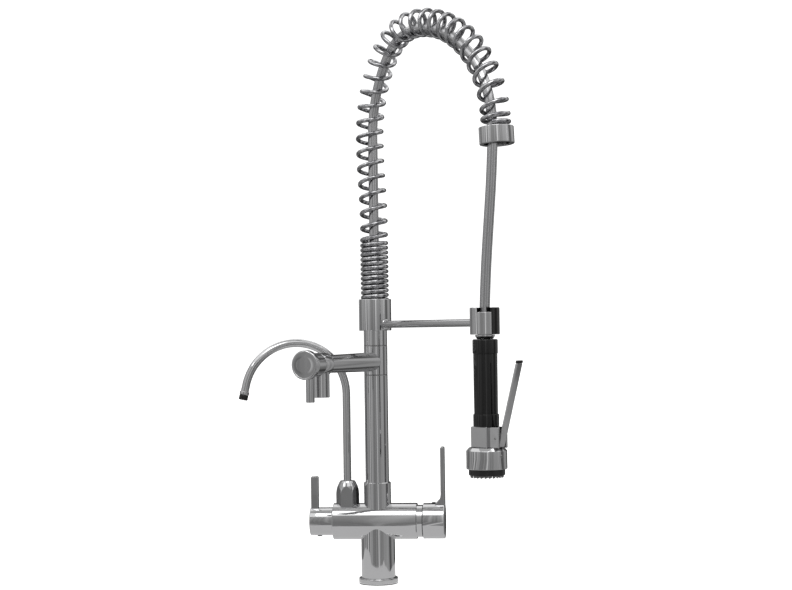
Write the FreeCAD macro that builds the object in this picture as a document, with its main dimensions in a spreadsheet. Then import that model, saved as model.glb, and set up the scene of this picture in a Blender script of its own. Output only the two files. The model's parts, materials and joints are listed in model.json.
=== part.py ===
"""A deck-mounted spring kitchen mixer with a pull-out spray head, a swivel spout and a filtered-water spout.

Millimetres and degrees. The origin is the centre of the deck face under the flange, +Z is up, +X runs
along the cross body to the mixer lever, and -Y is the user's side.
"""
import FreeCAD, Part
import math
import os
import Sketcher
from types import SimpleNamespace

Vector = FreeCAD.Vector
Rotation = FreeCAD.Rotation
Placement = FreeCAD.Placement
X_AXIS = Vector(1, 0, 0)
Y_AXIS = Vector(0, 1, 0)
Z_AXIS = Vector(0, 0, 1)

# Driving dimensions: name, value, meaning.
DIMENSIONS = [
    ("running_gap", 0.05, "radial clearance of a running fit"),
    ("part_gap", 0.3, "gap between pieces that pass each other"),
    ("flange_radius", 26.0, "deck flange"),
    ("flange_top", 8.0, "top of the deck flange"),
    ("seal_height", 1.0, "rubber seal under the flange"),
    ("body_radius", 22.5, "upright foot of the mixer body"),
    ("spigot_radius", 19.9, "spigot of the body inside the flange"),
    ("stud_hole_radius", 4.25, "M10 tapping hole for the fixing stud"),
    ("stud_hole_depth", 22.0, "depth of the stud hole"),
    ("inlet_radius", 4.5, "M10x1 tapping hole of each supply socket"),
    ("inlet_socket_radius", 6.0, "brass supply socket"),
    ("inlet_socket_depth", 14.0, "length of a supply socket"),
    ("inlet_circle", 12.5, "supply sockets' distance from the centre"),
    ("cross_height", 82.0, "axis of the cross body"),
    ("cross_radius", 24.0, "cross body"),
    ("cross_left", 59.0, "length of the cross body to the left"),
    ("cross_right", 53.0, "length of the cross body to the right"),
    ("cartridge_radius", 17.5, "mixing cartridge"),
    ("cartridge_start", 14.5, "inner end of the mixing cartridge"),
    ("tilt_pivot", 40.0, "lever pivot inside the mixing cartridge"),
    ("mixer_cap_start", 61.0, "left end of the mixer cap"),
    ("mixer_cap_end", 90.0, "right end of the mixer cap"),
    ("mixer_cap_radius", 23.5, "mixer cap"),
    ("mixer_lever_top", 180.0, "top of the mixer lever"),
    ("mixer_lever_thickness", 5.5, "mixer lever"),
    ("mixer_lever_width", 20.0, "mixer lever"),
    ("filter_cap_radius", 18.5, "filter cap"),
    ("filter_cap_end", 90.0, "outer end of the filter cap"),
    ("filter_lever_top", 142.0, "top of the filter lever"),
    ("filter_lever_size", 10.0, "filter lever"),
    ("sleeve_radius", 18.0, "column sleeve"),
    ("sleeve_top", 134.0, "top of the column sleeve"),
    ("column_radius", 15.7, "column tube"),
    ("column_bore", 13.2, "inside of the column tube"),
    ("tee_low", 276.0, "underside of the spout's swivel ring"),
    ("tee_high", 316.0, "top of the spout's swivel ring"),
    ("spout_height", 294.0, "axis of the main spout"),
    ("spout_root_radius", 12.9, "main spout at the column"),
    ("spout_tip_radius", 11.3, "main spout at its end block"),
    ("block_start", 135.0, "end block, from the column's axis"),
    ("block_end", 153.5, "front of the end block"),
    ("block_radius", 14.6, "end block"),
    ("knob_end", 176.0, "front of the diverter sleeve"),
    ("knob_cap_end", 185.0, "face of the diverter cap"),
    ("knob_cap_radius", 18.5, "diverter cap"),
    ("pin_place", 170.4, "diverter pin, from the column's axis"),
    ("pin_radius", 5.4, "diverter pin"),
    ("pin_reach", 47.0, "end of the diverter pin below the spout's axis"),
    ("outlet_radius", 11.0, "aerator housing"),
    ("outlet_reach", 41.8, "end of the aerator housing below the spout's axis"),
    ("gooseneck_offset", 40.0, "filter spout, to the left of the column"),
    ("gooseneck_radius", 5.25, "filter spout tube"),
    ("gooseneck_bore", 3.75, "inside of the filter spout tube"),
    ("gooseneck_bend", 69.5, "radius of the filter spout's arch"),
    ("gooseneck_spring", 251.0, "height at which the arch starts"),
    ("gooseneck_sweep", 167.0, "angle of the arch"),
    ("nut_low", 99.0, "underside of the bell nut"),
    ("nut_high", 136.0, "top of the bell nut"),
    ("nut_radius", 15.5, "bell nut across its corners"),
    ("collar_radius", 21.6, "spring collar"),
    ("collar_low", 335.5, "underside of the spring collar"),
    ("collar_high", 377.5, "top of the spring collar"),
    ("coil_radius", 18.8, "outside of the support spring"),
    ("coil_bore", 13.8, "inside of the support spring"),
    ("hose_radius", 6.35, "spray hose"),
    ("hose_bore", 4.3, "inside of the spray hose"),
    ("arch_foot", 594.0, "height at which the spring's arch starts"),
    ("arch_bow", 7.0, "how far the spring bows back below its arch"),
    ("bow_radius", 560.0, "radius of that bow"),
    ("arch_one", 170.0, "radius of the arch's rising stretch"),
    ("arch_two", 85.0, "radius over the top"),
    ("arch_three", 170.0, "radius of the falling stretch"),
    ("arch_four", 140.0, "radius down to the end nut"),
    ("hose_lean", 7.0, "how far the hose lies inside the arch"),
    ("end_nut_radius", 21.4, "end nut of the spring"),
    ("end_nut_length", 21.0, "end nut of the spring"),
    ("rod_height", 343.6, "axis of the arm rod"),
    ("rod_radius", 4.75, "arm rod"),
    ("holder_reach", 232.0, "holder's axis, from the column's axis"),
    ("holder_radius", 18.3, "holder shell"),
    ("holder_low", 329.0, "underside of the holder"),
    ("holder_high", 362.0, "top of the holder"),
    ("mouth_width", 18.4, "mouth of the holder"),
    ("ferrule_radius", 8.8, "hose ferrule held in the holder"),
    ("ferrule_top", 356.5, "top of the hose ferrule"),
    ("grip_top", 323.3, "top of the grip"),
    ("grip_low", 217.0, "bottom of the grip"),
    ("grip_radius", 14.8, "grip"),
    ("valve_low", 191.3, "underside of the spray valve body"),
    ("valve_length", 27.0, "spray valve body towards the lever"),
    ("valve_width", 24.0, "spray valve body across"),
    ("lever_pivot", 22.5, "spray lever's pivot, from the head's axis"),
    ("lever_pivot_height", 203.0, "height of the spray lever's pivot"),
    ("lever_tilt", 17.3, "lean of the spray lever"),
    ("lever_width", 10.0, "spray lever"),
    ("lever_thickness", 3.4, "spray lever"),
    ("ring_radius", 25.1, "spray ring"),
    ("ring_low", 165.0, "underside of the spray ring"),
    ("face_radius", 22.3, "spray face"),
    ("face_low", 157.6, "underside of the spray face"),
]
SPOUT_AZIMUTH = -113.0
ARM_AZIMUTH = -49.0
LEVER_AZIMUTH = -42.0
GOOSENECK_AZIMUTH = -156.0
END_NUT_TILT = 4.0

# The spray hose: the height where the riser ends inside the end nut, and the points it hangs through.
HOSE_START = 562.0
HOSE_POINTS = [(252.0, HOSE_START - 0.2), (249.3, 524.0), (244.4, 482.0), (239.0, 438.0), (234.6, 396.0),
               (232.0, 357.0)]

doc = FreeCAD.newDocument("spring_mixer")
sheet = doc.addObject("Spreadsheet::Sheet", "dims")


class Size:
    """A length that knows its value and its formula over the sheet's cells."""

    def __init__(self, value, formula):
        self.value = value
        self.formula = formula

    def __add__(self, other):
        other = as_size(other)
        return Size(self.value + other.value, f"({self.formula} + {other.formula})")

    def __sub__(self, other):
        other = as_size(other)
        return Size(self.value - other.value, f"({self.formula} - {other.formula})")

    def __mul__(self, factor):
        return Size(self.value * factor, f"({self.formula} * {factor})")

    def __float__(self):
        return float(self.value)


def as_size(number):
    if isinstance(number, Size):
        return number
    return Size(float(number), repr(float(number)))


def read_sheet():
    """Fill the sheet and return its cells by name."""
    cells = {}
    for row, (alias, value, meaning) in enumerate(DIMENSIONS, 1):
        sheet.set(f"A{row}", meaning)
        sheet.set(f"B{row}", str(value))
        sheet.setAlias(f"B{row}", alias)
        cells[alias] = Size(value, f"dims.{alias}")
    doc.recompute()
    return SimpleNamespace(**cells)


d = read_sheet()
subparts = []

# Frames in which groups of pieces are built.
WORLD = Placement()
SPOUT = Placement(Vector(0, 0, float(d.spout_height)), Rotation(Z_AXIS, SPOUT_AZIMUTH))
ARM = Placement(Vector(0, 0, 0), Rotation(Z_AXIS, ARM_AZIMUTH))
GOOSENECK = Placement(Vector(-float(d.gooseneck_offset), 0, 0), Rotation(Z_AXIS, GOOSENECK_AZIMUTH))
HEAD_CENTRE = ARM.multVec(Vector(float(d.holder_reach), 0, 0))
HEAD = Placement(HEAD_CENTRE, Rotation(Z_AXIS, LEVER_AZIMUTH))
HOLDER = Placement(HEAD_CENTRE, Rotation())


def at(x=0, y=0, z=0, axis=Z_AXIS, angle=0):
    return Placement(Vector(float(x), float(y), float(z)), Rotation(axis, angle))


def along_x(x, y=0, z=0):
    """Turns a piece's own +Z to +X."""
    return at(x, y, z, Y_AXIS, 90)


def against_x(x, y=0, z=0):
    """Turns a piece's own +Z to -X."""
    return at(x, y, z, Y_AXIS, -90)


def downwards(z, x=0, y=0):
    """Turns a piece's own +Z to -Z."""
    return at(x, y, z, X_AXIS, 180)


def keep(piece, label, place=WORLD):
    """Names a finished sub-part and sets it in place."""
    piece.Label = label
    piece.Placement = place
    subparts.append(piece)
    return piece


def bind(piece, **sizes):
    for name, size in sizes.items():
        piece.setExpression(name, as_size(size).formula)
    return piece


def cylinder(name, radius, height, place=WORLD):
    piece = bind(doc.addObject("Part::Cylinder", name), Radius=radius, Height=height)
    piece.Placement = place
    return piece


def cone(name, radius_one, radius_two, height, place=WORLD):
    piece = bind(doc.addObject("Part::Cone", name), Radius1=radius_one, Radius2=radius_two, Height=height)
    piece.Placement = place
    return piece


def torus(name, major, minor, place=WORLD):
    piece = bind(doc.addObject("Part::Torus", name), Radius1=major, Radius2=minor)
    piece.Placement = place
    return piece


def box(name, length, width, height, centre_x=0, centre_y=0, low_z=0):
    """A box centred on (centre_x, centre_y) that stands on low_z."""
    piece = bind(doc.addObject("Part::Box", name), Length=length, Width=width, Height=height)
    corner_x = float(as_size(centre_x)) - float(as_size(length)) / 2
    corner_y = float(as_size(centre_y)) - float(as_size(width)) / 2
    piece.Placement = at(corner_x, corner_y, float(as_size(low_z)))
    return piece


def fuse(name, *pieces):
    joined = doc.addObject("Part::MultiFuse", name)
    joined.Shapes = list(pieces)
    joined.Refine = True
    return joined


def cut(name, base, *tools):
    trimmed = doc.addObject("Part::Cut", name)
    trimmed.Base = base
    trimmed.Tool = tools[0] if len(tools) == 1 else fuse(name + "_tools", *tools)
    return trimmed


def common(name, *pieces):
    shared = doc.addObject("Part::MultiCommon", name)
    shared.Shapes = list(pieces)
    return shared


def pin_corner(sketch, edge, corner):
    """Holds an edge's start at a corner by two driven distances from the sketch's origin."""
    for kind, axis_line, size in (("DistanceX", -2, corner[0]), ("DistanceY", -1, corner[1])):
        size = as_size(size)
        if size.value == 0:
            sketch.addConstraint(Sketcher.Constraint("PointOnObject", edge, 1, axis_line))
            continue
        index = sketch.addConstraint(Sketcher.Constraint(kind, -1, 1, edge, 1, size.value))
        sketch.setExpression(f"Constraints[{index}]", size.formula)


def outline(sketch, corners):
    """Draws the closed outline through the corners, each bound to the sheet."""
    points = [Vector(float(as_size(a)), float(as_size(b)), 0) for a, b in corners]
    count = len(points)
    for index in range(count):
        sketch.addGeometry(Part.LineSegment(points[index], points[(index + 1) % count]), False)
    for index in range(count):
        sketch.addConstraint(Sketcher.Constraint("Coincident", index, 2, (index + 1) % count, 1))
    for index, corner in enumerate(corners):
        pin_corner(sketch, index, corner)


def turned(name, corners):
    """A turned piece: the outline's corners are (radius, height)."""
    body = doc.addObject("PartDesign::Body", name)
    sketch = body.newObject("Sketcher::SketchObject", name + "_profile")
    planes = [plane for plane in body.Origin.OriginFeatures if plane.Role == "XZ_Plane"]
    sketch.AttachmentSupport = [(planes[0], "")]
    sketch.MapMode = "FlatFace"
    outline(sketch, corners)
    turn = body.newObject("PartDesign::Revolution", name + "_turn")
    turn.Profile = sketch
    turn.ReferenceAxis = (sketch, ["V_Axis"])
    turn.Angle = 360.0
    body.Tip = turn
    return body


def ring(name, bore, radius, low, high, edge=0.6):
    """A turned ring with broken outer edges."""
    corners = [
        (bore, low),
        (as_size(radius) - edge, low),
        (radius, as_size(low) + edge),
        (radius, as_size(high) - edge),
        (as_size(radius) - edge, high),
        (bore, high),
    ]
    return turned(name, corners)


def extruded(name, corners, width, place=WORLD):
    """A plate: an outline in its XZ plane, half its width to each side."""
    sketch = doc.addObject("Sketcher::SketchObject", name + "_outline")
    outline(sketch, corners)
    plate = doc.addObject("Part::Extrusion", name)
    plate.Base = sketch
    plate.DirMode = "Custom"
    plate.Dir = Z_AXIS
    plate.Solid = True
    plate.Symmetric = True
    plate.setExpression("LengthFwd", as_size(width).formula)
    plate.Placement = place.multiply(Placement(Vector(0, 0, 0), Rotation(X_AXIS, 90)))
    return plate


class Route:
    """A path in the XZ plane of straight runs and tangent arcs."""

    def __init__(self, x, z, heading=90.0):
        self.point = Vector(x, 0, z)
        self.heading = math.radians(heading)
        self.edges = []
        self.length = 0.0

    def ahead(self, turn=0.0):
        return Vector(math.cos(self.heading + turn), 0, math.sin(self.heading + turn))

    def run(self, length):
        end = self.point + self.ahead() * length
        self.edges.append(Part.LineSegment(self.point, end).toShape())
        self.point = end
        self.length += length
        return self

    def arc(self, radius, degrees):
        """Turns right for a negative angle, left for a positive one."""
        turn = math.radians(degrees)
        side = math.copysign(math.pi / 2, turn)
        centre = self.point + self.ahead(side) * radius
        middle = centre - self.ahead(side + turn / 2) * radius
        end = centre - self.ahead(side + turn) * radius
        self.edges.append(Part.Arc(self.point, middle, end).toShape())
        self.point = end
        self.heading += turn
        self.length += radius * abs(turn)
        return self


def corner_route(points):
    """Straight runs through the points, each corner rounded by the largest arc that its two runs allow."""
    route = Route(points[0][0], points[0][1])
    vectors = [Vector(x, 0, z) for x, z in points]
    trims = [0.0]
    radii = []
    for before, corner, after in zip(vectors, vectors[1:], vectors[2:]):
        first = corner - before
        second = after - corner
        turn = first.getAngle(second)
        shorter = min(first.Length, second.Length)
        radius = 0.45 * shorter / math.tan(turn / 2)
        radii.append(radius)
        trims.append(0.45 * shorter)
    trims.append(0.0)
    for index, radius in enumerate(radii, 1):
        first = vectors[index] - vectors[index - 1]
        second = vectors[index + 1] - vectors[index]
        route.heading = math.atan2(first.z, first.x)
        route.run(first.Length - trims[index - 1] - trims[index])
        turn = math.atan2(second.z, second.x) - math.atan2(first.z, first.x)
        route.arc(radius, math.degrees(turn))
    last = vectors[-1] - vectors[-2]
    route.heading = math.atan2(last.z, last.x)
    route.run(last.Length - trims[-2])
    print("hose arc radii:", [round(radius) for radius in radii], "length:", round(route.length, 1))
    return route


def pipe(name, route, radius, bore=None):
    """A tube along a route: a section swept along it, less its bore."""
    spine = doc.addObject("Part::Feature", name + "_line")
    spine.Shape = Part.Wire(route.edges)
    edges = [f"Edge{index + 1}" for index in range(len(route.edges))]
    first = route.edges[0]
    start = first.valueAt(first.FirstParameter)
    tangent = first.tangentAt(first.FirstParameter)
    sweeps = []
    for label, size in (("outside", radius), ("bore", bore)):
        if size is None:
            continue
        section = bind(doc.addObject("Part::Circle", f"{name}_{label}_section"), Radius=size)
        section.Placement = Placement(start, Rotation(Z_AXIS, tangent))
        sweep = doc.addObject("Part::Sweep", f"{name}_{label}")
        sweep.Sections = [section]
        sweep.Spine = (spine, edges)
        sweep.Solid = True
        sweep.Frenet = False
        sweeps.append(sweep)
    return sweeps[0] if bore is None else cut(name, *sweeps)


def o_rings(name, major, minor, heights):
    """A group of equal rubber rings."""
    rings = [torus(f"{name}_{index}", major, minor, at(z=height)) for index, height in enumerate(heights)]
    group = doc.addObject("Part::Compound", name)
    group.Links = rings
    return group


# ---------------------------------------------------------------- foot and cross body


def build_foot():
    keep(ring("flange", d.spigot_radius + d.running_gap, d.flange_radius, d.seal_height, d.flange_top, 1.0),
         "base_flange")
    keep(ring("seal", d.spigot_radius + 0.6, d.flange_radius - 0.5, 0, d.seal_height, 0.2), "flange_seal")
    sockets = []
    for name, angle in (("hot", -30), ("cold", 30), ("filter", 180)):
        x = float(d.inlet_circle) * math.cos(math.radians(angle))
        y = float(d.inlet_circle) * math.sin(math.radians(angle))
        outer = cylinder(f"{name}_socket", d.inlet_socket_radius, d.inlet_socket_depth, at(x, y))
        bore = cylinder(f"{name}_socket_bore", d.inlet_radius, d.inlet_socket_depth, at(x, y))
        sockets.append(cut(f"{name}_inlet", outer, bore))
    group = doc.addObject("Part::Compound", "sockets")
    group.Links = sockets
    keep(group, "inlet_sockets")


def build_mixer_body():
    foot = turned("foot", [
        (0, 0),
        (d.spigot_radius, 0),
        (d.spigot_radius, d.flange_top),
        (d.body_radius, d.flange_top),
        (d.body_radius, d.cross_height),
        (0, d.cross_height),
    ])
    barrel_start = -float(d.cross_left)
    barrel = ring("barrel", 0, d.cross_radius, 0, d.cross_left + d.cross_right, 0.8)
    barrel.Placement = along_x(barrel_start, 0, d.cross_height)
    solid = fuse("body_solid", foot, barrel)
    axis_z = float(d.cross_height)
    seat = float(d.cartridge_start) - 0.1
    tools = [
        cylinder("cartridge_seat", d.cartridge_radius + d.running_gap, 60, along_x(seat, 0, axis_z)),
        cylinder("headwork_seat", 10.5, 40, against_x(-31, 0, axis_z)),
        cylinder("gooseneck_port", 7.0, 20, at(-float(d.gooseneck_offset), 0, axis_z + 8)),
        cylinder("riser_passage", 6.5, 30, at(0, 0, axis_z - 2)),
        cylinder("mixed_outlet", 4.0, 16, along_x(0, 0, axis_z + 6)),
        cylinder("filter_feed", 3.5, 22, against_x(-10, 0, axis_z - 3)),
        cylinder("stud_hole", d.stud_hole_radius, d.stud_hole_depth),
    ]
    for name, angle, top in (("hot", -30, 74), ("cold", 30, 74), ("filter", 180, 80)):
        x = float(d.inlet_circle) * math.cos(math.radians(angle))
        y = float(d.inlet_circle) * math.sin(math.radians(angle))
        tools.append(cylinder(f"{name}_seat", d.inlet_socket_radius + d.running_gap,
                              d.inlet_socket_depth + d.running_gap, at(x, y)))
        tools.append(cylinder(f"{name}_passage", 3.0, top, at(x, y)))
        if name != "filter":
            tools.append(cylinder(f"{name}_feed", 3.0, 10, along_x(9, y, 73)))
    keep(cut("body_casting", solid, *tools), "mixer_body")


def saddle(name, clearance=0.05):
    """The cross body's outside, as a tool that shapes what stands on it."""
    return cylinder(name, d.cross_radius + clearance, 200, along_x(-100, 0, d.cross_height))


def build_column():
    sleeve = ring("sleeve", d.column_radius + d.running_gap, d.sleeve_radius, 96, d.sleeve_top, 0.8)
    screw_place = Placement(Vector(0, 0, 129), Rotation(Z_AXIS, -150)).multiply(along_x(16.2))
    screw_hole = cylinder("sleeve_screw_hole", 1.75, 6, screw_place)
    keep(cut("sleeve_trim", sleeve, saddle("sleeve_saddle"), screw_hole), "column_sleeve")
    screw = cylinder("sleeve_grub", 1.7, 2.6)
    keep(screw, "sleeve_screw", screw_place)
    lower = ring("lower_tube", d.column_bore, d.column_radius, 97, d.tee_low, 0.3)
    keep(cut("lower_trim", lower, saddle("column_saddle")), "lower_column")
    core = turned("core", [
        (6.0, 262),
        (d.column_bore - d.running_gap, 262),
        (d.column_bore - d.running_gap, d.tee_low),
        (11.0, d.tee_low),
        (11.0, d.tee_high),
        (d.column_bore - d.running_gap, d.tee_high),
        (d.column_bore - d.running_gap, 330),
        (6.0, 330),
    ])
    port_x = cylinder("core_port_x", 4.0, 30, along_x(-15, 0, d.spout_height))
    port_y = cylinder("core_port_y", 4.0, 30, at(0, 15, d.spout_height, X_AXIS, 90))
    keep(cut("core_ported", core, port_x, port_y), "swivel_core")
    keep(o_rings("core_ring", 12.1, 1.0, (281.0, 309.0)), "swivel_seals")
    glides = doc.addObject("Part::Compound", "glides")
    glides.Links = [
        ring("glide_low", 11.1, d.column_radius - 0.1, d.tee_low, d.tee_low + 1.0, 0.2),
        ring("glide_high", 11.1, d.column_radius - 0.1, d.tee_high - 1.0, d.tee_high, 0.2),
    ]
    keep(glides, "swivel_glides")
    keep(ring("upper_tube", d.column_bore, d.column_radius - 0.1, d.tee_high, 350, 0.3), "upper_column")
    nipple = turned("nipple", [
        (3.0, 336),
        (d.column_bore - d.running_gap, 336),
        (d.column_bore - d.running_gap, 350.8),
        (d.hose_bore - 0.1, 350.8),
        (d.hose_bore - 0.1, 372),
        (3.0, 372),
    ])
    keep(nipple, "column_nipple")


# ---------------------------------------------------------------- mixer cartridge and lever


def build_cartridge():
    start = float(d.cartridge_start)
    axis_z = float(d.cross_height)
    shell = turned("cartridge", [
        (15.5, 0),
        (d.cartridge_radius, 0),
        (d.cartridge_radius, 30),
        (9.6, 30),
        (9.6, 24),
        (15.5, 24),
    ])
    keep(shell, "mixing_cartridge", along_x(start, 0, axis_z))
    disc = cylinder("fixed_disc", 15.4, 4, along_x(start, 0, axis_z))
    ports = [
        cylinder("disc_hot", 2.8, 8, along_x(start - 2, -6.25, 73)),
        cylinder("disc_cold", 2.8, 8, along_x(start - 2, 6.25, 73)),
        cylinder("disc_mixed", 3.6, 8, along_x(start - 2, 0, axis_z + 6)),
    ]
    keep(cut("fixed_disc_ported", disc, *ports), "ceramic_disc_fixed")
    keep(turned("bonnet", [
        (11.5, 0),
        (d.cartridge_radius, 0),
        (d.cartridge_radius, 8.3),
        (21.3, 8.3),
        (21.3, 15.3),
        (20.8, 15.8),
        (11.5, 15.8),
    ]), "cartridge_nut", along_x(start + 30.2, 0, axis_z))


def build_mixer_lever():
    start = float(d.cartridge_start)
    axis_z = float(d.cross_height)
    disc = cylinder("moving_disc", 13.5, 4, along_x(start + 4.1, 0, axis_z))
    chamber = cylinder("disc_chamber", 7.0, 2.5, along_x(start + 4.1, 0, axis_z))
    keep(cut("moving_disc_hollow", disc, chamber), "ceramic_disc_moving")
    carrier = turned("carrier", [
        (5.0, 8.3),
        (15.3, 8.3),
        (15.3, 23.7),
        (9.4, 23.7),
        (9.4, 29.5),
        (7.2, 29.5),
        (7.2, 16.0),
        (5.0, 16.0),
    ])
    carrier.Placement = along_x(start, 0, axis_z)
    pin_hole = cylinder("stem_pin_hole", 1.55, 18.6, at(float(d.tilt_pivot), 9.3, axis_z, X_AXIS, 90))
    keep(cut("carrier_drilled", carrier, pin_hole), "lever_carrier")
    keep(cylinder("stem_pivot", 1.5, 18.4), "stem_pin", at(float(d.tilt_pivot), 9.2, axis_z, X_AXIS, 90))
    stem = turned("stem", [
        (0, 0),
        (3.0, 0),
        (4.5, 5.0),
        (4.5, 14),
        (4.0, 16),
        (4.0, 50),
        (0, 50),
    ])
    stem.Placement = along_x(float(d.tilt_pivot) - 8, 0, axis_z)
    pivot_hole = cylinder("stem_hole", 1.55, 20, at(float(d.tilt_pivot), 10, axis_z, X_AXIS, 90))
    keep(cut("stem_drilled", stem, pivot_hole), "lever_stem")
    cap_length = d.mixer_cap_end - d.mixer_cap_start
    cap = turned("mixer_knob", [
        (4.05, 16.2),
        (8.0, 16.2),
        (8.0, 20.0),
        (21.7, 20.0),
        (21.7, 0),
        (d.mixer_cap_radius - 0.6, 0),
        (d.mixer_cap_radius, 0.6),
        (d.mixer_cap_radius, cap_length - 1.2),
        (d.mixer_cap_radius - 1.2, cap_length),
        (0, cap_length),
        (0, 22.0),
        (4.05, 22.0),
    ])
    cap.Placement = along_x(float(d.mixer_cap_start), 0, axis_z)
    plug_place = at(75, 0, axis_z + float(d.mixer_cap_radius) - 3.4)
    plug_hole = cylinder("plug_hole", 3.05, 12, at(75, 0, axis_z + 15))
    keep(cut("mixer_knob_drilled", cap, plug_hole), "mixer_cap")
    keep(turned("mixer_plug", [(0, 0), (3.0, 0), (3.0, 3.9), (2.2, 4.5), (0, 4.5)]), "mixer_cap_plug", plug_place)
    lever_outer = d.mixer_cap_end
    lever_inner = d.mixer_cap_end - d.mixer_lever_thickness
    blade = extruded("mixer_blade", [
        (lever_inner - 9.0, d.cross_height + 20),
        (lever_outer, d.cross_height + 20),
        (lever_outer, d.mixer_lever_top - 2),
        (lever_outer - 2.0, d.mixer_lever_top),
        (lever_inner + 1.2, d.mixer_lever_top),
        (lever_inner, d.mixer_lever_top - 1.2),
        (lever_inner, d.cross_height + 40),
        (lever_inner - 1.5, d.cross_height + 31),
        (lever_inner - 5.0, d.cross_height + 26),
    ], d.mixer_lever_width)
    knob_hull = cylinder("blade_trim", d.mixer_cap_radius + 0.02, 60, along_x(50, 0, axis_z))
    keep(cut("blade_fitted", blade, knob_hull), "mixer_lever")


# ---------------------------------------------------------------- filter valve and gooseneck


def build_filter_valve():
    axis_z = float(d.cross_height)
    left = -float(d.cross_left)
    keep(turned("headwork", [
        (4.05, 0),
        (10.4, 0),
        (10.4, 27.5),
        (7.0, 27.5),
        (7.0, 33.0),
        (4.05, 33.0),
    ]), "filter_headwork", against_x(left + 27.7, 0, axis_z))
    keep(cylinder("spindle", 4.0, 50), "filter_spindle", against_x(left + 27.0, 0, axis_z))
    cap_length = d.filter_cap_end - d.cross_left - 0.4
    cap = turned("filter_knob", [
        (4.05, 6.5),
        (7.5, 6.5),
        (7.5, 22.0),
        (15.5, 22.0),
        (15.5, 0),
        (d.filter_cap_radius - 0.5, 0),
        (d.filter_cap_radius, 0.5),
        (d.filter_cap_radius, cap_length - 1.0),
        (d.filter_cap_radius - 1.0, cap_length),
        (0, cap_length),
        (0, 23.0),
        (4.05, 23.0),
    ])
    cap.Placement = against_x(left - 0.4, 0, axis_z)
    screw_x = -78
    screw_hole = cylinder("filter_screw_hole", 3.25, 16, downwards(axis_z - 7.6, screw_x))
    keep(cut("filter_knob_drilled", cap, screw_hole), "filter_cap")
    keep(turned("filter_grub", [(0, 0), (3.2, 0), (3.2, 10.6), (2.4, 11.6), (0, 11.6)]),
         "filter_cap_screw", downwards(axis_z - 8.3, screw_x))
    lever_x = 84.0
    bar = extruded("filter_bar", [
        (lever_x - 5.0, d.cross_height + 15),
        (lever_x + 5.0, d.cross_height + 15),
        (lever_x + 5.0, d.filter_lever_top - 1.5),
        (lever_x + 3.8, d.filter_lever_top),
        (lever_x - 3.8, d.filter_lever_top),
        (lever_x - 5.0, d.filter_lever_top - 1.5),
    ], 9.0, at(0, 0, 0, Z_AXIS, 180))
    hull = cylinder("bar_trim", d.filter_cap_radius + 0.02, 60, against_x(-50, 0, axis_z))
    keep(cut("bar_fitted", bar, hull), "filter_lever")


def gooseneck_route():
    return (Route(0, 122).run(float(d.gooseneck_spring) - 122)
            .arc(float(d.gooseneck_bend), -float(d.gooseneck_sweep)).run(9.0))


def build_gooseneck():
    dome = turned("nut_dome", [
        (d.gooseneck_radius + 0.1, d.nut_low),
        (d.nut_radius - 1.5, d.nut_low),
        (d.nut_radius, d.nut_low + 1.5),
        (d.nut_radius, d.nut_low + 20),
        (d.nut_radius - 0.7, d.nut_low + 25.5),
        (d.nut_radius - 2.2, d.nut_low + 30.5),
        (d.nut_radius - 4.4, d.nut_low + 35.0),
        (d.nut_radius - 5.6, d.nut_high),
        (d.gooseneck_radius + 0.1, d.nut_high),
    ])
    prism = doc.addObject("Part::Prism", "nut_prism")
    prism.Polygon = 6
    bind(prism, Circumradius=d.nut_radius, Height=60)
    prism.Placement = at(0, 0, 90)
    nut_x = -float(d.gooseneck_offset)
    saddle_tool = cylinder("nut_saddle", d.cross_radius + 0.05, 120, along_x(-60, 0, d.cross_height))
    cavity = cylinder("nut_cavity", 7.6, 24, at(0, 0, 98))
    keep(cut("nut_fitted", common("nut_shape", dome, prism), saddle_tool, cavity), "bell_nut", at(nut_x))
    route = gooseneck_route()
    tip = Placement(route.point, Rotation(Z_AXIS, route.ahead()))
    bend = pipe("gooseneck", route, d.gooseneck_radius, d.gooseneck_bore)
    tail = ring("tail", d.gooseneck_bore, 6.95, 99.0, 122.0, 0.3)
    collar = turned("nozzle_collar", [(4.2, -0.2), (6.0, -0.2), (6.3, 0.2), (6.3, 3.4), (6.0, 4.0), (4.2, 4.0)])
    collar.Placement = tip
    grooves = [torus(f"tail_groove_{height}", 6.95, 0.9, at(z=height)) for height in (101, 104)]
    keep(cut("gooseneck_grooved", fuse("gooseneck_joined", bend, tail, collar), *grooves),
         "gooseneck_tube", GOOSENECK)
    keep(o_rings("tail_ring", 6.53, 0.45, (101.0, 104.0)), "gooseneck_seals", at(nut_x))
    keep(turned("nozzle", [(3.4, 4.05), (5.3, 4.05), (5.9, 4.8), (5.9, 10.4), (5.3, 11.0), (3.4, 11.0)]),
         "filter_nozzle", GOOSENECK.multiply(tip))


# ---------------------------------------------------------------- main spout and diverter


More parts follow.
